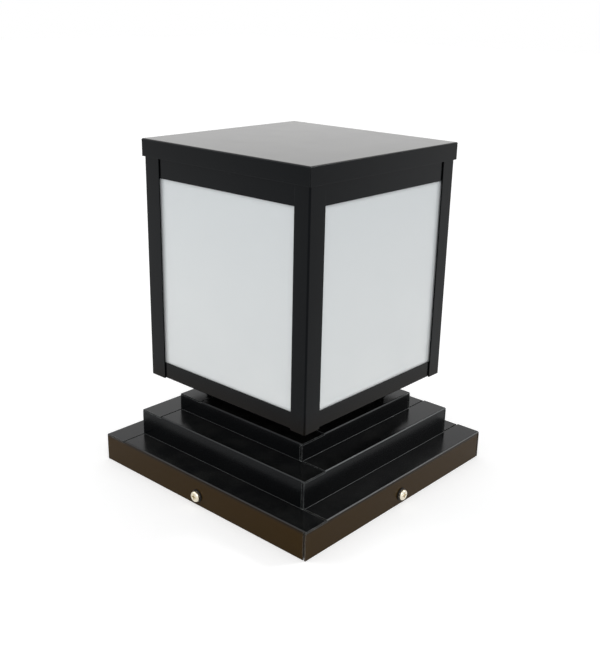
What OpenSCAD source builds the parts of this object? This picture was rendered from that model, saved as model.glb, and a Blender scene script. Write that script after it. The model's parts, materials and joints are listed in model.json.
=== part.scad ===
// Square pillar light: a stepped sheet metal base, a short neck and a lantern with four opal panels.
// +Z is up, the base stands on z = 0 and its centre is the origin. The front is the -Y side.

/* [Base] */
// Outer width of the lowest step
base_w = 250; // [235:1:320]
// Height of the lowest step
step1_rise = 26; // [24:1:40]
// Depth of the tread on the lowest step
step1_tread = 24; // [16:1:28]
// Height of the middle step
step2_rise = 25; // [12:1:40]
// Depth of the tread on the middle step
step2_tread = 25; // [16:1:28]
// Height of the top step
step3_rise = 16; // [8:1:30]
// Sheet thickness of the four side strips
base_t = 1.2; // [0.8:0.1:2]
// Inside radius of the folds in the sheet
fold_r = 0.3; // [0.3:0.1:1.5]
// Open seam where two strips meet
seam = 1.5; // [0.3:0.1:1.8]
// Gap between a tread's end and the riser that it runs on over
lap_gap = 0.4; // [0.3:0.1:1]
// Thickness of the plate under the top step
top_plate_t = 1.5; // [1:0.1:3]

/* [Neck] */
// Outer width of the neck
neck_w = 118; // [80:1:126]
// Height of the neck
neck_h = 20; // [8:1:60]
// Sheet thickness of the neck
neck_t = 1.2; // [0.8:0.1:2]
// Width of the top tread that lies under the neck wall
neck_seat = 10; // [5:1:16]

/* [Lantern] */
// Width of the lantern over its corner posts
head_w = 188; // [170:1:260]
// Flange width of a corner post on the side where it stands at the right end
post_flange_right = 15.5; // [10:0.5:24]
// Flange width of a corner post on the side where it stands at the left end
post_flange_left = 18; // [10:0.5:24]
// Sheet thickness of a corner post
post_t = 1.2; // [0.8:0.1:2]
// How far the corner posts reach below the tray
post_drop = 0; // [0:0.5:4]
// Sheet thickness of the tray and of the top rails
head_t = 1.2; // [0.8:0.1:2]
// Height of the tray's upstand, which is the bottom rail
low_rail_h = 15; // [8:1:30]
// Height of the panel that shows between the rails
opening_h = 167; // [150:1:300]
// Height of the top rail that shows under the cap
top_rail_show = 17; // [6:1:40]
// Cut back of a folded sheet at its open corners
corner_relief = 2; // [1:0.5:4]

/* [Cap] */
// Height of the cap's skirt
skirt_h = 15; // [10:1:40]
// Sheet thickness of the cap
cap_t = 1.2; // [0.8:0.1:2]
// Clearance between the cap and the lantern frame
cap_gap = 0.3; // [0.2:0.1:1]
// Open seam between two skirts at a corner
cap_seam = 0.4; // [0.2:0.1:1]

/* [Panels] */
// Thickness of an opal panel
panel_t = 2.5; // [2:0.1:4]
// Clearance round the panels
panel_gap = 0.3; // [0.1:0.1:0.8]
// How far the panels end below the top of the posts
panel_below = 3.5; // [1:0.5:10]
// Leg width of the angle that holds the panels in a corner
retainer_leg = 12; // [8:1:18]
// Thickness of that angle
retainer_t = 1; // [0.6:0.1:2]
// Thickness of that angle's foot
retainer_foot_t = 1.2; // [0.8:0.1:2]
// Shank radius of the rivet that holds the foot
rivet_r = 1.6; // [1:0.1:2]

/* [Mounting pan] */
// Thickness of the pan
pan_t = 1.5; // [1:0.1:3]
// Height of the pan's upturned flanges
pan_h = 16; // [14:1:18]
// Clearance between the pan and the side strips
pan_gap = 0.5; // [0.3:0.1:1]
// Spacing of the four anchor holes
anchor_spacing = 150; // [120:1:180]
// Radius of an anchor hole
anchor_r = 4.5; // [3:0.1:7]
// Radius of the cable bush's bore
cable_r = 6; // [4:0.1:8]
// Wall of the cable bush
bush_wall = 3.8; // [2.5:0.1:5]
// Height of the bush's collar above its flange
bush_collar_h = 4.5; // [2:0.5:10]

/* [Side screws] */
// Height of the screws above the foot
screw_z = 9; // [8:0.5:10]
// Shank radius of a side screw
screw_r = 2.5; // [1.5:0.1:3]
// Length of the shank under the head
screw_l = 10; // [9:0.5:16]
// Radius of the screw head
screw_head_r = 4.8; // [4:0.1:6]
// Height of the screw head
screw_head_h = 3; // [2:0.1:4]
// How far the rubber washer shows round the screw head
washer_margin = 0.8; // [0.4:0.1:2]
// Thickness of the rubber washer
screw_washer_t = 1; // [0.5:0.1:2]
// Height of a clinch nut
clinch_h = 4; // [2.5:0.1:6]

/* [Centre tube] */
// Outer radius of the threaded tube
tube_r = 5; // [5:0.1:6]
// Wall of the threaded tube
tube_wall = 1; // [0.8:0.1:1.5]
// Thickness of a nut on the tube
tube_nut_h = 6; // [3:0.5:8]
// Width across the flats of a nut on the tube
tube_nut_w = 17; // [15:1:22]
// Radius of a washer on the tube
tube_washer_r = 12; // [11:0.5:16]
// Thickness of a washer on the tube
tube_washer_t = 1.5; // [1:0.1:3]
// Length of tube below the lower nut
tube_tail = 5; // [2:1:12]

/* [Lamp holder] */
// Outer radius of the lamp holder
holder_r = 20; // [19:0.5:24]
// Height of the lamp holder
holder_h = 50; // [48:1:60]
// Wall of the lamp holder
holder_wall = 2.5; // [2:0.1:3.5]
// Inside radius of the brass sleeve
sleeve_r = 13.4; // [13.3:0.1:14]
// Wall of the brass sleeve
sleeve_t = 0.6; // [0.4:0.1:1]

/* [Bulb] */
// Radius over the bulb's screw cap
lamp_cap_r = 13; // [12.5:0.1:13]
// Radius of the bulb's dome
bulb_r = 30; // [26:0.5:40]
// Length of the bulb's tapered housing
bulb_housing_h = 45; // [35:1:60]

/* [Wiring] */
// Outer radius of a lead
lead_r = 1.1; // [0.8:0.1:1.2]
// Distance of the terminal block from the centre
block_y = 48; // [44:1:56]
// Pitch of the three poles
pole_pitch = 10; // [9:0.5:14]
// Distance of the earth stud from the centre plane
stud_x = 36; // [32:1:44]
// Radius of the earth stud
stud_r = 2; // [1.5:0.1:2.5]

/* [Hidden] */

// The four sides, in the order that quarter turns carry the front side to them
SIDES = ["front", "right", "back", "left"];

// Fine sides for round surfaces
$fn = 96;
// Flat facets in one fold of the sheet
fold_steps = 5;
// Play between a thread and its nut
thread_play = 0.1;
// Clearance of a shank in a plain hole
hole_play = 0.25;
// A cut runs this far past the face that it opens
over = 1;

// Half widths of the steps, from the foot inwards, and the heights of their treads
neck_half = neck_w / 2;
step_half = [base_w / 2, base_w / 2 - step1_tread, base_w / 2 - step1_tread - step2_tread,
    neck_half - neck_seat];
step_top = [0, step1_rise, step1_rise + step2_rise, step1_rise + step2_rise + step3_rise];
base_top = step_top[3];
plate_top = base_top - base_t;
plate_half = step_half[2] - base_t - fold_r - seam;

// Heights in the lantern
head_z = base_top + neck_h;
floor_z = head_z + head_t;
opening_z0 = head_z + low_rail_h;
opening_z1 = opening_z0 + opening_h;
skirt_z = opening_z1 + top_rail_show;
cap_top = skirt_z + skirt_h;
post_top = cap_top - cap_t - cap_gap;
panel_top = post_top - panel_below;

// Half widths in the lantern, from the outside inwards
head_half = head_w / 2;
cap_half = head_half + cap_gap + cap_t;
rail_half = head_half - post_t;
panel_out = rail_half - head_t - panel_gap;
panel_in = panel_out - panel_t;
retainer_half = panel_in - panel_gap;
rivet_at = retainer_half - retainer_leg / 2 - retainer_t;
rivet_head_r = rivet_r + 1.6;
rivet_head_h = 1;
rivet_edge = 1.3;
rivet_tail_r = rivet_r + 1;
rivet_tail_h = 0.8;
// The panels stand where the fold's inner curve meets their outer faces
seat_play = 0.05;
fold_bite = max(fold_r - panel_gap, 0);
panel_z0 = floor_z + fold_r - sqrt(fold_r * fold_r - fold_bite * fold_bite) + seat_play;

// Mounting pan and the parts that stand on it
pan_half = step_half[0] - base_t - pan_gap;
bush_out = cable_r + bush_wall;
bush_foot = 0.2;
bush_flange_t = 2;
bush_flange_w = 3;
bush_collar_wall = 2.5;
clinch_wall = 2;

// Side screws
screw_edge_h = 1.35;
screw_edge_r = 1.6;
recess_l = 5.3;
recess_w = 1.15;
recess_depth = 1.65;
point_h = 0.8;

// Centre tube, from below
plate_bottom = plate_top - top_plate_t;
low_nut_z = plate_bottom - tube_washer_t - tube_nut_h;
tube_z0 = low_nut_z - tube_tail;
high_nut_z = floor_z + tube_washer_t;
holder_z = high_nut_z + tube_nut_h;
tube_hole_r = tube_r + hole_play;
tube_thread = 9;

// Lamp holder, heights above its foot
ledge_h = 14;
insert_h = 6;
sleeve_z0 = ledge_h + insert_h;
contact_rise = 2.6;
contact_t = 0.4;
cavity_h = 9.5;
boss_r = tube_r + 4;
boss_h = 7;
shoulder_h = 12;
ledge_w = 3.5;
lip_r = lamp_cap_r + 2;
lip_t = 1.5;
sleeve_below = 2.5;
sleeve_top = holder_h - lip_t - sleeve_below;
sleeve_ring_w = 2.4;
leaf_w = 5;
leaf_foot = 8;
leaf_step = 3;
cavity_r = holder_r - holder_wall;
terminal_w = 3.6;
terminal_h = 3;

// Bulb, heights above the foot of the holder
bulb_play = 0.3;
tip_z = sleeve_z0 + contact_rise + contact_t + bulb_play;
tip_r = 4.5;
tip_h = 1.2;
insulator_h = 4;
lamp_shell_z = tip_z + tip_h + insulator_h;
shell_below = 3;
lamp_shell_top = holder_h - shell_below;
lamp_shell_t = 0.4;
thread_depth = 0.5;
thread_pitch = 3.6;
lamp_shell_in = lamp_cap_r - thread_depth - lamp_shell_t;
plug_r = lamp_shell_in - thread_play;
plug_h = 3;
collar_t = 1.2;
collar_r = lamp_cap_r + collar_t;
collar_proud = 1;
collar_top = holder_h + collar_proud;
flare = [1, 3];
rim_lip = [1, 6];
housing_top = lamp_shell_top + bulb_housing_h;
dome_sink = 9;
dome_rim = sqrt(bulb_r * bulb_r - dome_sink * dome_sink);
dome_t = 1.2;
board_margin = 4;
board_r = dome_rim - board_margin;
board_t = 1.6;

// Terminal block
block_margin = 4;
block_size = [3 * pole_pitch + block_margin, 18, 16];
block_front = block_y - block_size[1] / 2;
wire_rise = 4.5;
wire_z = pan_t + wire_rise;
wire_in = 6;
block_play = 0.4;
insert_w = 5;
insert_l = 14;
insert_play = 0.1;
wire_play = 0.2;
wire_bore = lead_r + wire_play;
clamp_r = 1.25;
clamp_head_r = 1.9;
clamp_head_h = 2;
clamp_rise = 2;
clamp_at = 4.5;
driver_slot = 0.6;
block_screw_r = 1.5;
block_screw_head_r = 2.6;
block_screw_head_h = 2;
block_screw_sink = 3;

// Earth stud
stud_before = 14;
stud_y = block_front - stud_before;
stud_rise = 6;
lug_drop = 1.3;
earth_nut_h = wire_rise - lug_drop;
earth_nut_w = 2 * stud_r + 3;
lug_t = 0.8;
lug_rim = 2.4;
lug_r = stud_r + lug_rim;
lug_barrel_l = 7;
lug_barrel_wall = 0.7;
lug_barrel_r = lead_r + lug_barrel_wall;

// Routes of the leads, by points that a smooth curve passes through
tube_lead_x = 2.2;
terminal_shift = 0.2;
lead_sides = 8;
lead_split = 3;
lead_straight = 6;
// Shares of the way back from the centre plane and of the climb from the block to the tube's mouth
lead_climb = [[0.6, 0.12], [0.36, 0.35], [0.16, 0.62], [0.04, 0.85]];
lead_end = holder_z + ledge_h - over;

function side_lead(s) = concat(
    [for (y = [wire_in, 0]) [s * pole_pitch, block_front + y, wire_z]],
    [[s * pole_pitch, block_front - lead_straight, wire_z + 1]],
    [for (p = lead_climb) [s * (tube_lead_x + p[0] * (pole_pitch - tube_lead_x)),
        p[0] * (block_front - lead_straight), wire_z + p[1] * (tube_z0 - wire_z)]],
    [for (z = [tube_z0 + 4, (tube_z0 + holder_z) / 2, holder_z - 4, lead_end]) [s * tube_lead_x, 0, z]]);

earth_route = [[0, block_front + wire_in, wire_z], [0, block_front, wire_z], [0, block_front - 5, wire_z],
    [3, block_front - 11, wire_z], [9, stud_y, wire_z], [16, stud_y, wire_z],
    [stud_x - lug_r - 3, stud_y, wire_z]];

// Colours
black = "#1b1e20";
opal = "#e4e8e8";
zinc = "#b9bcc0";
nickel = "#cfc8b4";
brass = "#c3a35a";

function unit(v) = v / norm(v);

function left_of(v) = [-v[1], v[0]];

function turned_back(list) = [for (i = [len(list) - 1:-1:0]) list[i]];

// A path of right-angled folds moved to its left by d
function shifted(path, d) = [for (i = [0:len(path) - 1])
    let (a = i > 0 ? left_of(unit(path[i] - path[i - 1])) : [0, 0],
        b = i < len(path) - 1 ? left_of(unit(path[i + 1] - path[i])) : [0, 0])
    path[i] + d * (a + b)];

// One fold drawn as an arc between the directions d1 and d2
function fold_arc(p, d1, d2, r) = [for (k = [0:fold_steps])
    let (s = 90 * k / fold_steps)
    p - r * d1 * (1 - sin(s)) + r * d2 * (1 - cos(s))];

// A path with round folds, where left and right turns have radii of their own
function rounded(path, r_left, r_right) = [for (i = [0:len(path) - 1])
    each i == 0 || i == len(path) - 1 ? [path[i]] :
        let (d1 = unit(path[i] - path[i - 1]), d2 = unit(path[i + 1] - path[i]))
        fold_arc(path[i], d1, d2, d1[0] * d2[1] - d1[1] * d2[0] > 0 ? r_left : r_right)];

// Outline of a folded sheet whose outer face follows the path and whose metal lies to its left
function folded(path, t, r) = concat(rounded(path, r + t, r),
    turned_back(rounded(shifted(path, t), r, r + t)));

// A point between b and c on a smooth curve through a, b, c and d
function curve_point(a, b, c, d, s) = 0.5 * (2 * b + (c - a) * s + (2 * a - 5 * b + 4 * c - d) * s * s
    + (3 * b - a - 3 * c + d) * s * s * s);

// A smooth curve through the points
function curve(pts) = let (last = len(pts) - 1) concat(
    [for (i = [0:last - 1], k = [0:lead_split - 1])
        curve_point(pts[max(i - 1, 0)], pts[i], pts[i + 1], pts[min(i + 2, last)], k / lead_split)],
    [pts[last]]);

// Turns the front side's children to the named side, and a corner's from the front right corner
module to_side(side) {
    rotate([0, 0, 90 * search([side], SIDES)[0]]) children();
}

// Draws an outline of (outward, up) points as a bar along X on the front side
module along_x(l) {
    rotate([90, 0, -90])
    linear_extrude(height = l, center = true)
    children();
}

// Draws an outline of (x, up) points as a bar along Y
module along_y(l) {
    rotate([90, 0, 0])
    linear_extrude(height = l, center = true)
    children();
}

// A round tube swept along a curve, with its rings set out from a fixed direction
module swept(pts, r, ref) {
    n = len(pts);
    rings = [for (i = [0:n - 1])
        let (t = unit(pts[min(i + 1, n - 1)] - pts[max(i - 1, 0)]),
            u = unit(cross(ref, t)),
            v = cross(t, u))
        each [for (k = [0:lead_sides - 1])
            pts[i] + r * (cos(360 * k / lead_sides) * u + sin(360 * k / lead_sides) * v)]];
    first = [for (k = [lead_sides - 1:-1:0]) k];
    last = [for (k = [0:lead_sides - 1]) (n - 1) * lead_sides + k];
    walls = [for (i = [0:n - 2], k = [0:lead_sides - 1])
        let (a = i * lead_sides + k, b = i * lead_sides + (k + 1) % lead_sides)
        [a, b, b + lead_sides, a + lead_sides]];
    polyhedron(rings, concat([turned_back(first)], [turned_back(last)],
        [for (w = walls) turned_back(w)]));
}

// An open tray folded up on its four sides, with cut back corners
module folded_tray(half, z0, z1, t) {
    outline = folded([[-half, z1], [-half, z0], [half, z0], [half, z1]], t, fold_r);
    side_l = 2 * (half - corner_relief);
    along_x(side_l) polygon(outline);
    along_y(side_l) polygon(outline);
}

// A block with round top edges, as one side of a folded lid
module lid_block(half, z0, z1, r) {
    outline = rounded([[half, z0], [half, z1], [-half, z1], [-half, z0]], r, r);
    intersection() {
        along_x(2 * half) polygon(outline);
        along_y(2 * half) polygon(outline);
    }
}

// A lid folded down on its four sides, with closed corners
module folded_lid(half, z0, z1, t) {
    difference() {
        lid_block(half, z0, z1, fold_r + t);
        lid_block(half - t, z0 - over, z1 - t, fold_r);
    }
}

// An angle in the front right corner, with one leg on the front side and one on the right side
module corner_angle(half, front_leg, right_leg, t, z0, z1) {
    translate([0, 0, z0])
    linear_extrude(height = z1 - z0)
    polygon(folded([[half - front_leg, -half], [half, -half], [half, right_leg - half]], t, fold_r));
}

// A hexagonal nut with its foot on z = 0
module hex_nut(w, h, bore_r) {
    difference() {
        cylinder(r = w / sqrt(3), h = h, $fn = 6);
        translate([0, 0, -over]) cylinder(r = bore_r, h = h + 2 * over);
    }
}

// One strip of the stepped base: three risers and three treads in one folded sheet
module base_strip() {
    stairs = [for (k = [1:3]) each [[step_half[k - 1], step_top[k - 1]], [step_half[k - 1], step_top[k]]]];
    color(black)
    difference() {
        along_x(base_w) polygon(folded(concat(stairs, [[step_half[3], base_top]]), base_t, fold_r));
        for (k = [1:3]) {
            strip_start_cut(k);
            strip_end_cut(k);
        }
        on_side_screw() cylinder(r = screw_r + hole_play, h = 4 * base_t, center = true);
    }
}

// At its start the strip leaves room for the tread of the strip before it
module strip_start_cut(k) {
    low = step_top[k] - base_t - lap_gap;
    far = step_half[0] + over;
    translate([-far, -far, low])
        cube([far - step_half[k], 2 * far, base_top - low + over]);
    translate([-step_half[k] - over, -far, low])
        cube([over + seam, far - step_half[k], base_t + lap_gap + fold_r]);
}

// At its end the tread runs on over the riser of the next strip
module strip_end_cut(k) {
    far = step_half[0] + over;
    low = k == 1 ? -over : step_top[k - 1] - base_t - fold_r;
    reach = k == 1 ? far : step_half[k - 1];
    translate([step_half[k - 1] - base_t - seam, -reach, low])
        cube([far, 2 * far, step_top[k] - base_t - low]);
    translate([step_half[k - 1], -far, step_top[k - 1]])
        cube([far, 2 * far, base_top + over]);
}

// Places a screw's axis on the front side, with +Z pointing out of the base
module on_side_screw() {
    translate([0, -step_half[0], screw_z]) rotate([90, 0, 0]) children();
}

module top_plate() {
    color(black)
    difference() {
        translate([-plate_half, -plate_half, plate_bottom])
            cube([2 * plate_half, 2 * plate_half, top_plate_t]);
        translate([0, 0, plate_bottom - over]) cylinder(r = tube_hole_r, h = top_plate_t + 2 * over);
    }
}

module neck() {
    color(black)
    difference() {
        folded_lid(neck_half, base_top, head_z, neck_t);
        translate([0, 0, base_top]) cylinder(r = tube_hole_r, h = neck_h + over);
    }
}

module mounting_pan() {
    color(zinc)
    difference() {
        folded_tray(pan_half, 0, pan_h, pan_t);
        for (x = [-1, 1], y = [-1, 1])
            translate([x * anchor_spacing / 2, y * anchor_spacing / 2, -over])
                cylinder(r = anchor_r, h = pan_t + 2 * over);
        translate([0, 0, -over]) cylinder(r = bush_out + hole_play, h = pan_t + 2 * over);
        for (x = [-1, 1])
            translate([x * pole_pitch / 2, block_y, -over])
                cylinder(r = block_screw_r + thread_play, h = pan_t + 2 * over);
        for (side = SIDES)
            to_side(side) on_side_screw()
                translate([0, 0, -base_t - pan_gap - pan_t - over])
                    cylinder(r = screw_r + hole_play, h = pan_t + 2 * over);
    }
}

module clinch_nuts() {
    top = -base_t - pan_gap - pan_t;
    color(zinc)
    for (side = SIDES)
        to_side(side) on_side_screw()
            translate([0, 0, top - clinch_h])
                difference() {
                    cylinder(r = screw_r + clinch_wall, h = clinch_h);
                    translate([0, 0, -over]) cylinder(r = screw_r + thread_play, h = clinch_h + 2 * over);
                }
}

// A cross-recessed pan head screw in the front side
module side_screw() {
    crown = [for (k = [0:8]) let (s = 90 * k / 8)
        [screw_head_r - screw_edge_r * (1 - cos(s)),
            screw_edge_h + (screw_head_h - screw_edge_h) * sin(s)]];
    color(nickel)
    on_side_screw() translate([0, 0, screw_washer_t]) {
        difference() {
            rotate_extrude()
                polygon(concat([[0, 0], [screw_head_r, 0]], crown, [[0, screw_head_h]]));
            for (a = [0, 90])
                rotate([0, 0, a])
                translate([-recess_l / 2, -recess_w / 2, screw_head_h - recess_depth])
                    cube([recess_l, recess_w, recess_depth + over]);
        }
        translate([0, 0, point_h - screw_l]) cylinder(r = screw_r, h = screw_l - point_h);
        translate([0, 0, -screw_l]) cylinder(r1 = screw_r - point_h, r2 = screw_r, h = point_h);
    }
}

module screw_washers() {
    color("#202225")
    for (side = SIDES)
        to_side(side) on_side_screw()
            difference() {
                cylinder(r = screw_head_r + washer_margin, h = screw_washer_t);
                translate([0, 0, -over]) cylinder(r = screw_r + hole_play, h = screw_washer_t + 2 * over);
            }
}

module cable_bush() {
    flange_top = pan_t + bush_flange_t;
    color("#202225")
    difference() {
        union() {
            translate([0, 0, bush_foot]) cylinder(r = bush_out, h = flange_top - bush_foot);
            translate([0, 0, pan_t]) cylinder(r = bush_out + bush_flange_w, h = bush_flange_t);
            translate([0, 0, flange_top]) cylinder(r = cable_r + bush_collar_wall, h = bush_collar_h);
        }
        cylinder(r = cable_r, h = flange_top + bush_collar_h + over);
    }
}

// Repeats its children at the three poles of the block
module at_poles() {
    for (x = [-1, 0, 1]) translate([x * pole_pitch, block_y, 0]) children();
}

module terminal_block() {
    channel = insert_w + 2 * insert_play;
    depth = insert_l + 2 * insert_play;
    color("#e9e6dc")
    difference() {
        translate([-block_size[0] / 2, block_front, pan_t]) cube(block_size);
        at_poles() {
            translate([-channel / 2, -depth / 2, wire_z - channel / 2]) cube([channel, depth, channel]);
            translate([0, 0, wire_z]) rotate([90, 0, 0])
                cylinder(r = wire_bore + block_play, h = block_size[1] + 2 * over, center = true);
            for (y = [-1, 1])
                translate([0, y * clamp_at, wire_z])
                    cylinder(r = clamp_head_r + hole_play, h = block_size[2]);
        }
        for (x = [-1, 1])
            translate([x * pole_pitch / 2, block_y, 0]) {
                cylinder(r = block_screw_r + hole_play, h = pan_t + block_size[2] + over);
                translate([0, 0, pan_t + block_size[2] - block_screw_sink])
                    cylinder(r = block_screw_head_r + hole_play, h = block_screw_sink + over);
            }
    }
}

module terminal_inserts() {
    color(brass)
    at_poles()
        difference() {
            translate([-insert_w / 2, -insert_l / 2, wire_z - insert_w / 2])
                cube([insert_w, insert_l, insert_w]);
            translate([0, 0, wire_z]) rotate([90, 0, 0])
                cylinder(r = wire_bore, h = insert_l + 2 * over, center = true);
            for (y = [-1, 1])
                translate([0, y * clamp_at, wire_z]) cylinder(r = clamp_r + thread_play, h = insert_w);
        }
}

// A slotted screw with the foot of its shank on z = z0 and the foot of its head on z = head_z0
module slotted_screw(r, head_r, head_h, z0, head_z0) {
    difference() {
        union() {
            translate([0, 0, z0]) cylinder(r = r, h = head_z0 - z0);
            translate([0, 0, head_z0]) cylinder(r = head_r, h = head_h);
        }
        translate([-head_r - over, -driver_slot / 2, head_z0 + head_h / 2])
            cube([2 * (head_r + over), driver_slot, head_h]);
    }
}

module terminal_screws() {
    color(zinc)
    at_poles()
        for (y = [-1, 1])
            translate([0, y * clamp_at, 0])
                slotted_screw(clamp_r, clamp_head_r, clamp_head_h, wire_z + lead_r + thread_play,
                    wire_z + insert_w / 2 + clamp_rise);
}

module block_screws() {
    color(zinc)
    for (x = [-1, 1])
        translate([x * pole_pitch / 2, block_y, 0])
            slotted_screw(block_screw_r, block_screw_head_r, block_screw_head_h, bush_foot,
                pan_t + block_size[2] - block_screw_sink);
}

module earth_stud() {
    color(zinc)
    translate([stud_x, stud_y, pan_t]) cylinder(r = stud_r, h = wire_rise + stud_rise);
}

module earth_nuts() {
    color(zinc)
    for (z = [pan_t, pan_t + earth_nut_h + lug_t])
        translate([stud_x, stud_y, z]) hex_nut(earth_nut_w, earth_nut_h, stud_r + thread_play);
}

module earth_lug() {
    color(zinc)
    difference() {
        union() {
            translate([stud_x, stud_y, pan_t + earth_nut_h]) cylinder(r = lug_r, h = lug_t);
            translate([stud_x - lug_r - lug_barrel_l, stud_y, wire_z])
                rotate([0, 90, 0]) cylinder(r = lug_barrel_r, h = lug_barrel_l);
            translate([stud_x - lug_r - 1, stud_y - lug_barrel_r, pan_t + earth_nut_h])
                cube([lug_r, 2 * lug_barrel_r, lug_t]);
        }
        translate([stud_x, stud_y, pan_t]) cylinder(r = stud_r + thread_play, h = 2 * earth_nut_h);
        translate([stud_x - lug_r - lug_barrel_l - over, stud_y, wire_z])
            rotate([0, 90, 0]) cylinder(r = lead_r + thread_play, h = lug_barrel_l + over);
    }
}

module lead_live() {
    color("#6b3f24") swept(curve(side_lead(-1)), lead_r, [1, 0, 0]);
}

module lead_neutral() {
    color("#2f5fa8") swept(curve(side_lead(1)), lead_r, [1, 0, 0]);
}

module lead_earth() {
    color("#7fa32e") swept(curve(earth_route), lead_r, [0, 0, 1]);
}

module lantern_tray() {
    color(black)
    difference() {
        folded_tray(rail_half, head_z, opening_z0, head_t);
        translate([0, 0, head_z - over]) cylinder(r = tube_hole_r, h = head_t + 2 * over);
        for (side = SIDES)
            to_side(side) translate([rivet_at, -rivet_at, head_z - over])
                cylinder(r = rivet_r + thread_play, h = head_t + 2 * over);
    }
}

module corner_post() {
    color(black)
    corner_angle(head_half, post_flange_right, post_flange_left, post_t, head_z - post_drop, post_top);
}

module top_rail() {
    l = 2 * (rail_half - corner_relief);
    color(black)
    translate([-l / 2, -rail_half, opening_z1]) cube([l, head_t, post_top - opening_z1]);
}

// Each panel starts at a corner and ends against the back of the next one
module panel() {
    color(opal)
    translate([-panel_out, -panel_out, panel_z0])
        cube([panel_out + panel_in - panel_gap, panel_t, panel_top - panel_z0]);
}

// The angle stands on a foot that reaches half way into its legs
module panel_retainers() {
    h = retainer_half;
    mid = h - retainer_t / 2;
    bend = h - retainer_t - fold_r;
    color(zinc)
    for (side = SIDES)
        to_side(side)
            difference() {
                union() {
                    corner_angle(h, retainer_leg, retainer_leg, retainer_t, floor_z, panel_top);
                    translate([0, 0, floor_z])
                    linear_extrude(height = retainer_foot_t)
                    polygon([[h - retainer_leg, -mid], [bend, -mid], [mid, -bend], [mid, retainer_leg - h],
                        [h - retainer_leg, retainer_leg - h]]);
                }
                translate([rivet_at, -rivet_at, floor_z - over])
                    cylinder(r = rivet_r + thread_play, h = retainer_foot_t + 2 * over);
            }
}

module retainer_rivets() {
    foot_top = floor_z + retainer_foot_t;
    color(zinc)
    for (side = SIDES)
        to_side(side) translate([rivet_at, -rivet_at, 0]) {
            translate([0, 0, head_z - rivet_tail_h]) cylinder(r = rivet_tail_r, h = rivet_tail_h);
            translate([0, 0, head_z]) cylinder(r = rivet_r, h = foot_top - head_z);
            translate([0, 0, foot_top])
                cylinder(r1 = rivet_head_r, r2 = rivet_head_r - rivet_edge, h = rivet_head_h);
        }
}

module centre_tube() {
    l = holder_z + tube_thread - tube_z0;
    color(zinc)
    translate([0, 0, tube_z0])
        difference() {
            cylinder(r = tube_r, h = l);
            translate([0, 0, -over]) cylinder(r = tube_r - tube_wall, h = l + 2 * over);
        }
}

module tube_nuts() {
    color(zinc)
    for (z = [low_nut_z, high_nut_z])
        translate([0, 0, z]) hex_nut(tube_nut_w, tube_nut_h, tube_r + thread_play);
}

module tube_washers() {
    color(zinc)
    for (z = [plate_bottom - tube_washer_t, floor_z])
        translate([0, 0, z])
            difference() {
                cylinder(r = tube_washer_r, h = tube_washer_t);
                translate([0, 0, -over]) cylinder(r = tube_hole_r, h = tube_washer_t + 2 * over);
            }
}

module holder_shell() {
    bore = tube_r + thread_play;
    color("#f0efe9")
    translate([0, 0, holder_z])
        rotate_extrude()
        polygon([[bore, 0], [boss_r, 0], [boss_r, boss_h], [holder_r, shoulder_h], [holder_r, holder_h],
            [lip_r, holder_h], [lip_r, holder_h - lip_t], [cavity_r, holder_h - lip_t], [cavity_r, ledge_h],
            [cavity_r - ledge_w, ledge_h], [boss_r, cavity_h], [bore, cavity_h]]);
}

module holder_insert() {
    color("#d9d5c8")
    translate([0, 0, holder_z + ledge_h]) cylinder(r = cavity_r - thread_play, h = insert_h);
}

module holder_sleeve() {
    ring_r = sleeve_r - sleeve_ring_w;
    out_r = sleeve_r + sleeve_t;
    color(brass)
    translate([0, 0, holder_z])
        rotate_extrude()
        polygon([[ring_r, sleeve_z0], [out_r, sleeve_z0], [out_r, sleeve_top], [sleeve_r, sleeve_top],
            [sleeve_r, sleeve_z0 + sleeve_t], [ring_r, sleeve_z0 + sleeve_t]]);
}

// A spring leaf, fixed at its foot, that presses on the bulb's tip
module holder_contact() {
    color(brass)
    translate([0, 0, holder_z + sleeve_z0])
        along_y(leaf_w)
        polygon(folded([[-leaf_foot, 0], [-leaf_step, 0], [-leaf_step, contact_rise],
            [leaf_step, contact_rise]], contact_t, contact_t));
}

module holder_terminals() {
    color(brass)
    for (x = [-1, 1])
        translate([0, 0, holder_z + ledge_h - terminal_h])
            difference() {
                translate([x * (tube_lead_x + terminal_shift) - terminal_w / 2, -terminal_w / 2, 0])
                    cube([terminal_w, terminal_w, terminal_h]);
                translate([x * tube_lead_x, 0, -over]) cylinder(r = lead_r + thread_play, h = terminal_h);
            }
}

module bulb_cap_shell() {
    turns = floor((lamp_shell_top - lamp_shell_z) / thread_pitch);
    per_turn = 6;
    wall = [for (k = [0:turns * per_turn])
        [lamp_cap_r - thread_depth / 2 * (1 - cos(360 * k / per_turn)),
            lamp_shell_z + thread_pitch * k / per_turn]];
    color(zinc)
    translate([0, 0, holder_z])
        rotate_extrude()
        polygon(concat([[lamp_shell_in, lamp_shell_z]], wall,
            [[lamp_cap_r, lamp_shell_top], [lamp_shell_in, lamp_shell_top]]));
}

module bulb_insulator() {
    color("#151515")
    translate([0, 0, holder_z + tip_z + tip_h]) {
        cylinder(r1 = tip_r, r2 = plug_r, h = insulator_h);
        translate([0, 0, insulator_h]) cylinder(r = plug_r, h = plug_h);
    }
}

module bulb_tip() {
    color(brass)
    translate([0, 0, holder_z + tip_z]) cylinder(r1 = tip_r - tip_h, r2 = tip_r, h = tip_h);
}

module bulb_housing() {
    color("#f4f4f0")
    translate([0, 0, holder_z])
        rotate_extrude()
        polygon([[0, lamp_shell_top - plug_h], [plug_r, lamp_shell_top - plug_h], [plug_r, lamp_shell_top],
            [collar_r, lamp_shell_top], [collar_r, collar_top],
            [collar_r + flare[0], collar_top + flare[1]],
            [dome_rim - rim_lip[0], housing_top - rim_lip[1]], [dome_rim, housing_top], [0, housing_top]]);
}

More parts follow.
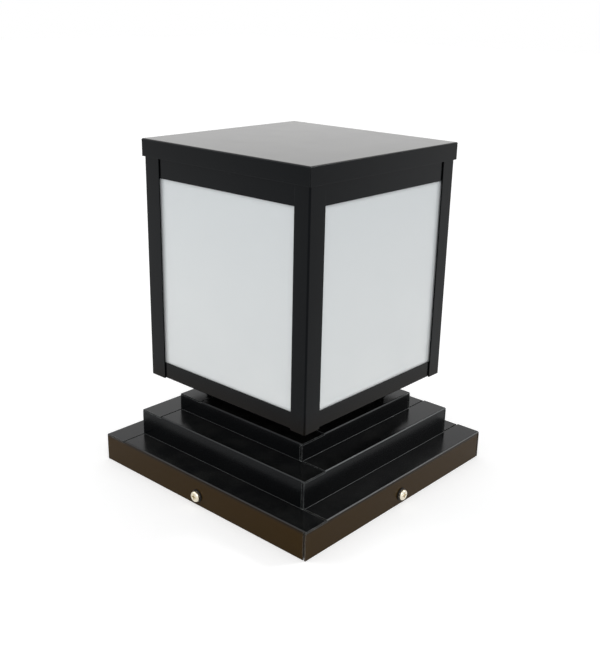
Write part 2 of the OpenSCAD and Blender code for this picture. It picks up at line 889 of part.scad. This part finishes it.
module led_board() {
    color("#e8e8e2")
    translate([0, 0, holder_z + housing_top]) cylinder(r = board_r, h = board_t);
}

module bulb_dome() {
    color("#f7f7f4")
    translate([0, 0, holder_z + housing_top + dome_sink])
        difference() {
            sphere(r = bulb_r);
            sphere(r = bulb_r - dome_t);
            translate([0, 0, -dome_sink - 2 * bulb_r]) cylinder(r = 2 * bulb_r, h = 2 * bulb_r);
        }
}

// The skirts are folded down and stay open at the corners
module cap() {
    color(black)
    difference() {
        folded_lid(cap_half, skirt_z, cap_top, cap_t);
        for (side = SIDES)
            to_side(side) rotate([0, 0, -45])
                translate([cap_half, -cap_seam / 2, skirt_z - over])
                cube([cap_half, cap_seam, skirt_h - cap_t - fold_r + over]);
    }
}

to_side("front") base_strip();  // base_strip_front
to_side("right") base_strip();  // base_strip_right
to_side("back") base_strip();  // base_strip_back
to_side("left") base_strip();  // base_strip_left
top_plate();
neck();
mounting_pan();
clinch_nuts();
to_side("front") side_screw();  // side_screw_front
to_side("right") side_screw();  // side_screw_right
to_side("back") side_screw();  // side_screw_back
to_side("left") side_screw();  // side_screw_left
screw_washers();
cable_bush();
terminal_block();
terminal_inserts();
terminal_screws();
block_screws();
earth_stud();
earth_nuts();
earth_lug();
lead_live();
lead_neutral();
lead_earth();
lantern_tray();
to_side("front") corner_post();  // corner_post_front_right
to_side("right") corner_post();  // corner_post_back_right
to_side("back") corner_post();  // corner_post_back_left
to_side("left") corner_post();  // corner_post_front_left
to_side("front") top_rail();  // top_rail_front
to_side("right") top_rail();  // top_rail_right
to_side("back") top_rail();  // top_rail_back
to_side("left") top_rail();  // top_rail_left
to_side("front") panel();  // panel_front
to_side("right") panel();  // panel_right
to_side("back") panel();  // panel_back
to_side("left") panel();  // panel_left
panel_retainers();
retainer_rivets();
centre_tube();
tube_nuts();
tube_washers();
holder_shell();
holder_insert();
holder_sleeve();
holder_contact();
holder_terminals();
bulb_cap_shell();
bulb_insulator();
bulb_tip();
bulb_housing();
led_board();
bulb_dome();
cap();
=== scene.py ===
"""A square pillar light: a stepped black base, a short neck and a lantern with four opal panels.

Lengths are metres unless a name says mm. The front side is -Y, and the camera looks at the corner
between the front and the right side.
"""

import json
import math

import bmesh
import bpy
from mathutils import Matrix, Vector


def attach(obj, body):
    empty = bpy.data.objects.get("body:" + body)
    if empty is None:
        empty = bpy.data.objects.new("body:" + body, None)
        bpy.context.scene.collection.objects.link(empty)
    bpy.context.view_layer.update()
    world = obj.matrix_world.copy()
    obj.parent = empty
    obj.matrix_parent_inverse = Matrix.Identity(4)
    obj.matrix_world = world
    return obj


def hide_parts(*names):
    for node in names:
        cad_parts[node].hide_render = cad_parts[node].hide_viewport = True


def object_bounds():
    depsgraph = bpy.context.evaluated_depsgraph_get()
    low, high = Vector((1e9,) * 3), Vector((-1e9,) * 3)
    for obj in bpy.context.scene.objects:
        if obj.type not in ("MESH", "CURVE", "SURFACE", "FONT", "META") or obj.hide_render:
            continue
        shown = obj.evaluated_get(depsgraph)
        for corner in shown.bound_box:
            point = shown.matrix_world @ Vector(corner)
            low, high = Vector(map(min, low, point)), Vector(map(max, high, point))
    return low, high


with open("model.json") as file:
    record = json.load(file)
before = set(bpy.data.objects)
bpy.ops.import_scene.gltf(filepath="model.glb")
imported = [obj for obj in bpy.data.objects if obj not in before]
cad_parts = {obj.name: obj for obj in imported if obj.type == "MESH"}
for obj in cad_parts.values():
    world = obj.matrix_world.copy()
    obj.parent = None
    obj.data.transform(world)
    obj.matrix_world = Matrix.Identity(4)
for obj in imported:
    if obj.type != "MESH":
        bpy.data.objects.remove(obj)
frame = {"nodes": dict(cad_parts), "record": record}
cad_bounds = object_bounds()
NODES = frame["nodes"]
BODY_OF = {n: body for body, names in frame["record"]["behaviour"]["bodies"].items() for n in names}
SLOT_OF = {row["node"]: row["material_slot"] for row in frame["record"]["subparts"]}
MM = 0.001
SIDES = ("front", "right", "back", "left")
CORNERS = ("front_right", "back_right", "back_left", "front_left")

# Camera, in mm and degrees, worked out from the photograph's corners
CAMERA_DISTANCE_MM = 840.15
CAMERA_AZIMUTH = 41.685
CAMERA_ELEVATION = 19.498
CAMERA_ROLL = 1.193
CAMERA_TARGET_HEIGHT_MM = 150
CAMERA_AIM_RIGHT_MM = 2.411
CAMERA_AIM_UP_MM = -19.548
LENS_MM = 50.58

# Width of the rounding on each kind of piece, and its segments
SHEET_EDGE = 0.22 * MM
PANEL_EDGE = 0.35 * MM
SCREW_EDGE = 0.12 * MM
WASHER_EDGE = 0.1 * MM
LARGE_SEGMENTS = 3
SMALL_SEGMENTS = 2
WELD_DISTANCE = 1e-6
FLAT_WITHIN_DEGREES = 0.5
ROUNDED_FROM_DEGREES = 32

# Heights above the ground, each a pair between which the black coat's look changes
CAP_TOP = cad_bounds[1][2]
CAP_TOP_FACE = (CAP_TOP - 0.6 * MM, CAP_TOP - 0.2 * MM)
LOWEST_RISER_TOP = (0.022, 0.0262)
ABOVE_BASE = (0.070, 0.075)
LANTERN_FOOT_START = (0.070, 0.072)
LANTERN_FOOT_END = (0.082, 0.105)

# Light: the world's level for rays that aren't seen directly, the floor's own glow, and where lamps look
WORLD_LEVEL = 0.58
FLOOR_GLOW = 0.34
FLOOR_SIZE = 16
FLOOR_DROP = 0.2 * MM
LIGHT_MIDDLE = (0, 0, 0.15)


def add_camera():
    azimuth, elevation, roll = (math.radians(a) for a in (CAMERA_AZIMUTH, CAMERA_ELEVATION, CAMERA_ROLL))
    back = Vector((math.sin(azimuth) * math.cos(elevation), -math.cos(azimuth) * math.cos(elevation),
                   math.sin(elevation)))
    level_right = Vector((math.cos(azimuth), math.sin(azimuth), 0))
    level_up = back.cross(level_right)
    right = math.cos(roll) * level_right + math.sin(roll) * level_up
    up = math.cos(roll) * level_up - math.sin(roll) * level_right
    target = (Vector((0, 0, CAMERA_TARGET_HEIGHT_MM)) + CAMERA_AIM_RIGHT_MM * level_right
              + CAMERA_AIM_UP_MM * level_up) * MM
    data = bpy.data.cameras.new("camera")
    data.lens = LENS_MM
    camera = bpy.data.objects.new("camera", data)
    camera.matrix_world = Matrix.Translation(target + back * CAMERA_DISTANCE_MM * MM) @ Matrix(
        (right, up, back)).transposed().to_4x4()
    bpy.context.scene.collection.objects.link(camera)
    bpy.context.scene.camera = camera


SOCKETS = {"base": "Base Color", "metallic": "Metallic", "roughness": "Roughness",
           "specular": "Specular IOR Level", "specular_tint": "Specular Tint",
           "subsurface": "Subsurface Weight", "subsurface_radius": "Subsurface Radius",
           "subsurface_scale": "Subsurface Scale"}


class Shade:
    """One material's node tree, with short calls for the nodes that the finishes use."""

    def __init__(self, name):
        self.material = bpy.data.materials.new(name)
        self.material.use_nodes = True
        self.tree = self.material.node_tree
        self.shader = self.tree.nodes["Principled BSDF"]
        self.output = self.tree.nodes["Material Output"]
        self.place = self.node("ShaderNodeTexCoord").outputs["Object"]

    def node(self, kind, **settings):
        made = self.tree.nodes.new(kind)
        for name, value in settings.items():
            setattr(made, name, value)
        return made

    def put(self, socket, value):
        """Sets a socket to a value, or links it to another node's output."""
        if isinstance(value, bpy.types.NodeSocket):
            self.tree.links.new(value, socket)
        elif isinstance(value, (tuple, list)) and len(value) == 3 and socket.type == "RGBA":
            socket.default_value = (*value, 1)
        else:
            socket.default_value = value

    def set(self, **values):
        """Sets or links the main shader's sockets by their names in SOCKETS."""
        for name, value in values.items():
            self.put(self.shader.inputs[SOCKETS[name]], value)

    def noise(self, scale, detail, roughness=0.5, place=None):
        made = self.node("ShaderNodeTexNoise")
        for name, value in (("Vector", place or self.place), ("Scale", scale), ("Detail", detail),
                            ("Roughness", roughness)):
            self.put(made.inputs[name], value)
        return made.outputs["Fac"]

    def patches(self, low, high, scale, detail, within=(0.3, 0.7), roughness=0.5):
        """Noise that wanders from low to high. Within is the part of its own range that this takes."""
        return self.spread(self.noise(scale, detail, roughness), *within, low, high)

    def cells(self, scale):
        made = self.node("ShaderNodeTexVoronoi")
        self.put(made.inputs["Vector"], self.place)
        self.put(made.inputs["Scale"], scale)
        return made.outputs["Distance"], made.outputs["Color"]

    def stretched(self, along):
        made = self.node("ShaderNodeMapping")
        self.put(made.inputs["Vector"], self.place)
        made.inputs["Scale"].default_value = along
        return made.outputs["Vector"]

    def spread(self, value, from_low, from_high, low, high, smooth=False):
        made = self.node("ShaderNodeMapRange", interpolation_type="SMOOTHSTEP" if smooth else "LINEAR")
        for index, number in enumerate((value, from_low, from_high, low, high)):
            self.put(made.inputs[index], number)
        return made.outputs["Result"]

    def maths(self, operation, first, second):
        made = self.node("ShaderNodeMath", operation=operation)
        self.put(made.inputs[0], first)
        self.put(made.inputs[1], second)
        return made.outputs["Value"]

    def times(self, first, second):
        return self.maths("MULTIPLY", first, second)

    def mixed(self, share, first, second):
        """Mixes two colours, which the node has at its sockets 6 and 7 in, and 2 out."""
        made = self.node("ShaderNodeMix", data_type="RGBA")
        for index, value in ((0, share), (6, first), (7, second)):
            self.put(made.inputs[index], value)
        return made.outputs[2]

    def bumps(self, *layers):
        """Layers of (height, distance in metres, strength), one on top of the other."""
        normal = None
        for height, distance, strength in layers:
            made = self.node("ShaderNodeBump")
            self.put(made.inputs["Height"], height)
            made.inputs["Distance"].default_value = distance
            made.inputs["Strength"].default_value = strength
            if normal:
                self.put(made.inputs["Normal"], normal)
            normal = made.outputs["Normal"]
        self.put(self.shader.inputs["Normal"], normal)

    def split(self, vector):
        """A vector's parts, by the names X, Y and Z."""
        made = self.node("ShaderNodeSeparateXYZ")
        self.put(made.inputs[0], vector)
        return made.outputs

    def normal(self):
        return self.node("ShaderNodeNewGeometry").outputs["Normal"]

    def upward(self):
        """1 on faces that look straight up, 0 on walls."""
        return self.spread(self.split(self.normal())["Z"], 0.6, 0.98, 0.0, 1.0, smooth=True)

    def folds(self):
        """A painted highlight's share on the rounded folds between a tread and a riser: 0.55 where they
        face right, 0.15 elsewhere, and 0 on treads and risers."""
        facing = self.split(self.normal())
        leaves_riser = self.spread(facing["Z"], 0.25, 0.55, 0.0, 1.0)
        joins_tread = self.spread(facing["Z"], 0.90, 0.98, 1.0, 0.0)
        return self.times(self.times(leaves_riser, joins_tread),
                          self.spread(facing["X"], 0.0, 0.5, 0.15, 0.55))

    def by_height(self, low, high, under=0.0, over=1.0):
        """Goes from under to over between two heights above the ground, in metres."""
        return self.spread(self.split(self.place)["Z"], low, high, under, over)

    def edges(self, radius):
        """1 along sharp edges and folds, 0 on flat faces."""
        bent = self.node("ShaderNodeBevel", samples=6)
        bent.inputs["Radius"].default_value = radius
        dot = self.node("ShaderNodeVectorMath", operation="DOT_PRODUCT")
        self.put(dot.inputs[0], bent.outputs["Normal"])
        self.put(dot.inputs[1], self.normal())
        return self.spread(dot.outputs["Value"], 0.995, 0.86, 0.0, 1.0, smooth=True)


def specks(s, scale, rare):
    """Small round dots in a few of the cells of a pattern. Rare is the share of cells without one."""
    distance, cell_tint = s.cells(scale)
    chosen = s.node("ShaderNodeSeparateColor")
    s.put(chosen.inputs[0], cell_tint)
    return s.times(s.spread(distance, 0.05, 0.11, 1.0, 0.0),
                   s.maths("GREATER_THAN", chosen.outputs["Red"], rare))


def black_coat():
    """Gloss black powder coat: orange peel, a painted highlight along the base's folds and edges that is
    partly real wear, dust and specks on what looks up, a painted grey sheen on the cap's top, and a
    painted brown reflection of the ground low down, in the colour and in the shine's tint."""
    deep_black, soft_black = (0.0014, 0.0017, 0.0020), (0.0022, 0.0026, 0.0029)
    dust_and_sheen_tone, speck_tone = (0.52, 0.51, 0.46), (0.42, 0.42, 0.40)
    painted_ground_reflection_tone, highlight_and_wear_tone = (0.155, 0.085, 0.006), (0.21, 0.22, 0.22)
    cool_shine, painted_foot_shine_tint, painted_ground_shine_tint = (0.37, 0.40, 0.44), (0.30, 0.16, 0.02), (0.60, 0.14, 0.0)

    s = Shade("black_coat")
    up = s.upward()
    cap_top = s.times(up, s.by_height(*CAP_TOP_FACE))
    lowest_riser = s.by_height(*LOWEST_RISER_TOP, under=1.0, over=0.0)
    lantern_foot = s.times(s.by_height(*LANTERN_FOOT_START),
                           s.by_height(*LANTERN_FOOT_END, under=1.0, over=0.0))

    coat = s.mixed(s.patches(0, 1, 14, 3), deep_black, soft_black)
    dust = s.times(up, s.patches(0.15, 1.0, 55, 4, within=(0.42, 0.75), roughness=0.6))
    # Dust on what looks up, and a painted grey sheen on the cap's top that stands in for the bright light
    # it reflects
    dust_and_cap_sheen = s.mixed(s.maths("ADD", s.times(dust, 0.015), s.times(cap_top, 0.12)), coat, dust_and_sheen_tone)
    specked = s.mixed(s.times(specks(s, 150, rare=0.985), up), dust_and_cap_sheen, speck_tone)
    # Painted reflection: a brown film on the lowest riser's walls stands in for a brown ground reflected
    # there
    with_painted_ground_reflection = s.mixed(s.times(s.spread(up, 0, 1, 0.18, 0), lowest_riser), specked, painted_ground_reflection_tone)
    # Painted highlight along edges and folds, partly real wear: stronger on folds that face right, mostly
    # on the base below the lantern
    edge_highlight_and_wear = s.times(s.edges(0.55 * MM), s.patches(0.5, 1.0, 160, 3, within=(0.35, 0.65)))
    edge_highlight_and_wear = s.times(s.maths("MAXIMUM", edge_highlight_and_wear, s.folds()), s.by_height(*ABOVE_BASE, under=0.95, over=0.10))

    s.set(base=s.mixed(edge_highlight_and_wear, with_painted_ground_reflection, highlight_and_wear_tone),
          specular=s.maths("SUBTRACT", s.spread(up, 0, 1, 0.17, 0.25), s.times(lowest_riser, 0.07)),
          # The shine's tint is painted brown on the lowest riser and on the lantern's foot, as a painted
          # reflection of a brown ground
          specular_tint=s.mixed(lowest_riser, s.mixed(lantern_foot, cool_shine, painted_foot_shine_tint), painted_ground_shine_tint),
          roughness=s.maths("SUBTRACT", s.patches(0.19, 0.23, 30, 3), s.times(cap_top, 0.08)))
    s.bumps((s.noise(16, 1), 0.25 * MM, 0.16), (s.noise(620, 2), 0.02 * MM, 0.35))
    return s.material


def opal_acrylic():
    """Opal acrylic sheet: smooth, faintly cloudy, with painted light that makes it paler towards the
    bottom, and fine hair scratches.
    """
    s = Shade("opal_acrylic")
    # Painted light: the cloud and the lighter colour fade out towards the top, so the panel is paler low
    # down
    cloud = s.times(s.patches(0, 0.3, 11, 2), s.by_height(0.09, 0.26, under=1.0, over=0.0))
    cloud_and_painted_light = s.maths("ADD", cloud, s.by_height(0.08, 0.28, under=0.7, over=0.0))
    scratch = s.noise(900, 2, place=s.stretched((1, 1, 0.03)))
    s.set(base=s.mixed(cloud_and_painted_light, (0.675, 0.710, 0.725), (0.800, 0.825, 0.825)), specular=0.35,
          subsurface=0.25, subsurface_scale=4 * MM, subsurface_radius=(1.0, 1.0, 1.0),
          roughness=s.spread(scratch, 0.55, 0.75, 0.14, 0.26))
    s.bumps((s.noise(9, 1), 0.4 * MM, 0.12), (scratch, 0.004 * MM, 0.3))
    return s.material


def plated(name, bright, dull, roughness, grain=420):
    """Plated steel or brass: blotches of brighter and duller plating, and a fine grain."""
    s = Shade(name)
    blotch = s.patches(0, 1, 90, 4, within=(0.35, 0.65), roughness=0.6)
    s.set(base=s.mixed(blotch, dull, bright), metallic=1.0,
          roughness=s.patches(roughness * 0.75, roughness * 1.3, grain, 3))
    s.bumps((s.noise(grain * 2, 2), 0.01 * MM, 0.4))
    return s.material


def moulded(name, light, dark, roughness, specular=0.45, grain=900, relief_mm=0.012):
    """Moulded plastic, rubber, glass or porcelain: slight colour shifts and a fine surface grain."""
    s = Shade(name)
    s.set(base=s.mixed(s.patches(0, 1, 60, 3), dark, light), specular=specular,
          roughness=s.patches(roughness * 0.8, roughness * 1.2, 120, 3))
    s.bumps((s.noise(grain, 2), relief_mm * MM, 0.4))
    return s.material


def striped_sleeve(name, green, yellow):
    """Lead insulation with a stripe along it."""
    s = Shade(name)
    wave = s.node("ShaderNodeTexWave", wave_type="BANDS", bands_direction="Y")
    s.put(wave.inputs["Vector"], s.place)
    s.put(wave.inputs["Scale"], 140)
    s.set(base=s.mixed(s.spread(wave.outputs["Fac"], 0.55, 0.65, 0, 1), green, yellow),
          roughness=s.patches(0.38, 0.5, 200, 2))
    s.bumps((s.noise(900, 2), 0.01 * MM, 0.4))
    return s.material


FINISHES = {
    "black_coat": black_coat(),
    "opal_acrylic": opal_acrylic(),
    "zinc_steel": plated("zinc_steel", (0.63, 0.64, 0.66), (0.44, 0.45, 0.47), roughness=0.34),
    "nickel_screw": plated("nickel_screw", (0.90, 0.84, 0.70), (0.66, 0.60, 0.46), roughness=0.26),
    "brass": plated("brass", (0.80, 0.62, 0.30), (0.60, 0.44, 0.20), roughness=0.28),
    "black_rubber": moulded("black_rubber", (0.014, 0.014, 0.015), (0.008, 0.008, 0.009),
                            roughness=0.62, specular=0.2, grain=500, relief_mm=0.03),
    "cream_plastic": moulded("cream_plastic", (0.80, 0.77, 0.69), (0.72, 0.69, 0.61), roughness=0.42),
    "brown_sleeve": moulded("brown_sleeve", (0.16, 0.075, 0.035), (0.11, 0.050, 0.024), roughness=0.42),
    "blue_sleeve": moulded("blue_sleeve", (0.045, 0.13, 0.38), (0.030, 0.09, 0.28), roughness=0.42),
    "green_sleeve": striped_sleeve("green_sleeve", (0.07, 0.26, 0.05), (0.62, 0.52, 0.04)),
    "glazed_ceramic": moulded("glazed_ceramic", (0.82, 0.81, 0.77), (0.74, 0.73, 0.69),
                              roughness=0.14, specular=0.6, grain=160, relief_mm=0.03),
    "black_glass": moulded("black_glass", (0.016, 0.016, 0.017), (0.010, 0.010, 0.011),
                           roughness=0.12, specular=0.5, grain=300),
    "white_plastic": moulded("white_plastic", (0.80, 0.80, 0.78), (0.75, 0.75, 0.73), roughness=0.3),
    "board_white": moulded("board_white", (0.76, 0.76, 0.72), (0.68, 0.68, 0.64), roughness=0.5),
    "opal_dome": moulded("opal_dome", (0.84, 0.84, 0.82), (0.80, 0.80, 0.78), roughness=0.34),
}


def softened(node, width, segments=LARGE_SEGMENTS):
    """Stands in for a CAD node with the same shape, smooth folds and edges rounded by width."""
    mesh = NODES[node].data.copy()
    work = bmesh.new()
    work.from_mesh(mesh)
    bmesh.ops.remove_doubles(work, verts=work.verts, dist=WELD_DISTANCE)
    bmesh.ops.dissolve_limit(work, angle_limit=math.radians(FLAT_WITHIN_DEGREES), verts=work.verts,
                             edges=work.edges)
    for face in work.faces:
        face.smooth = True
    work.to_mesh(mesh)
    work.free()
    piece = bpy.data.objects.new(f"{node}_sheet", mesh)
    bpy.context.scene.collection.objects.link(piece)
    rounding = piece.modifiers.new("edges", "BEVEL")
    rounding.width = width
    rounding.segments = segments
    rounding.limit_method = "ANGLE"
    rounding.angle_limit = math.radians(ROUNDED_FROM_DEGREES)
    rounding.use_clamp_overlap = True
    flats = piece.modifiers.new("flats", "WEIGHTED_NORMAL")
    flats.mode = "FACE_AREA"
    flats.weight = 100
    piece.data.materials.clear()
    piece.data.materials.append(FINISHES[SLOT_OF[node]])
    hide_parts(node)
    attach(piece, BODY_OF[node])


for side in SIDES:
    softened(f"base_strip_{side}", SHEET_EDGE)
    softened(f"top_rail_{side}", SHEET_EDGE)
    softened(f"panel_{side}", PANEL_EDGE)
    softened(f"side_screw_{side}", SCREW_EDGE, SMALL_SEGMENTS)
for corner in CORNERS:
    softened(f"corner_post_{corner}", SHEET_EDGE)
for node in ("neck", "lantern_tray", "cap"):
    softened(node, SHEET_EDGE)
softened("screw_washers", WASHER_EDGE, SMALL_SEGMENTS)

for node, body in NODES.items():
    body.data.materials.clear()
    body.data.materials.append(FINISHES[SLOT_OF[node]])


def add_lamp(name, kind, place, aim, energy, **settings):
    """A soft lamp at place that looks at aim. A sun's energy is W/m2, an area lamp's W."""
    data = bpy.data.lights.new(name, kind)
    data.energy = energy
    for setting, value in settings.items():
        setattr(data, setting, value)
    lamp = bpy.data.objects.new(name, data)
    lamp.location = place
    lamp.rotation_euler = (Vector(aim) - Vector(place)).to_track_quat("-Z", "Y").to_euler()
    bpy.context.scene.collection.objects.link(lamp)


def seen_rays(tree):
    """1 for camera, glossy and transmission rays, 0 for the rest."""
    path = tree.nodes.new("ShaderNodeLightPath")
    total = path.outputs["Is Camera Ray"]
    for name in ("Is Glossy Ray", "Is Transmission Ray"):
        larger = tree.nodes.new("ShaderNodeMath")
        larger.operation = "MAXIMUM"
        tree.links.new(total, larger.inputs[0])
        tree.links.new(path.outputs[name], larger.inputs[1])
        total = larger.outputs["Value"]
    return total


def add_world():
    """White where it is seen or reflected, dimmer as a source of light."""
    world = bpy.data.worlds.new("studio")
    world.use_nodes = True
    tree = world.node_tree
    backdrop = tree.nodes["Background"]
    backdrop.inputs["Color"].default_value = (1, 1, 1, 1)
    level = tree.nodes.new("ShaderNodeMapRange")
    tree.links.new(seen_rays(tree), level.inputs["Value"])
    level.inputs["To Min"].default_value = WORLD_LEVEL
    level.inputs["To Max"].default_value = 1.0
    tree.links.new(level.outputs["Result"], backdrop.inputs["Strength"])
    bpy.context.scene.world = world


def add_floor():
    """A white floor that keeps the object's shadow and joins the white background."""
    bpy.ops.mesh.primitive_grid_add(x_subdivisions=2, y_subdivisions=2, size=FLOOR_SIZE,
                                    location=(0, 0, -FLOOR_DROP))
    floor = bpy.context.object
    floor.name = "floor"
    paper = Shade("paper")
    paper.set(base=(0.86, 0.86, 0.86), roughness=0.9, specular=0.1)
    glow = paper.node("ShaderNodeEmission")
    glow.inputs["Color"].default_value = (1, 1, 1, 1)
    paper.put(glow.inputs["Strength"], paper.times(seen_rays(paper.tree), FLOOR_GLOW))
    total = paper.node("ShaderNodeAddShader")
    paper.put(total.inputs[0], paper.shader.outputs[0])
    paper.put(total.inputs[1], glow.outputs[0])
    paper.put(paper.output.inputs["Surface"], total.outputs[0])
    floor.data.materials.append(paper.material)


add_camera()
add_world()
add_floor()
add_lamp("key", "SUN", place=(3.7, -3.3, 4.4), aim=LIGHT_MIDDLE, energy=0.75, angle=math.radians(35))
add_lamp("window", "SUN", place=(1.63, 2.73, 2.55), aim=LIGHT_MIDDLE, energy=0.55, angle=math.radians(12))
add_lamp("left", "AREA", place=(-1.0, -0.9, 1.15), aim=LIGHT_MIDDLE, energy=3.0, size=0.8)
add_lamp("floor_left", "AREA", place=(-0.75, -0.8, 0.8), aim=(-0.75, -0.8, 0), energy=1.2, size=0.6)
bpy.context.scene.view_settings.view_transform = "Standard"
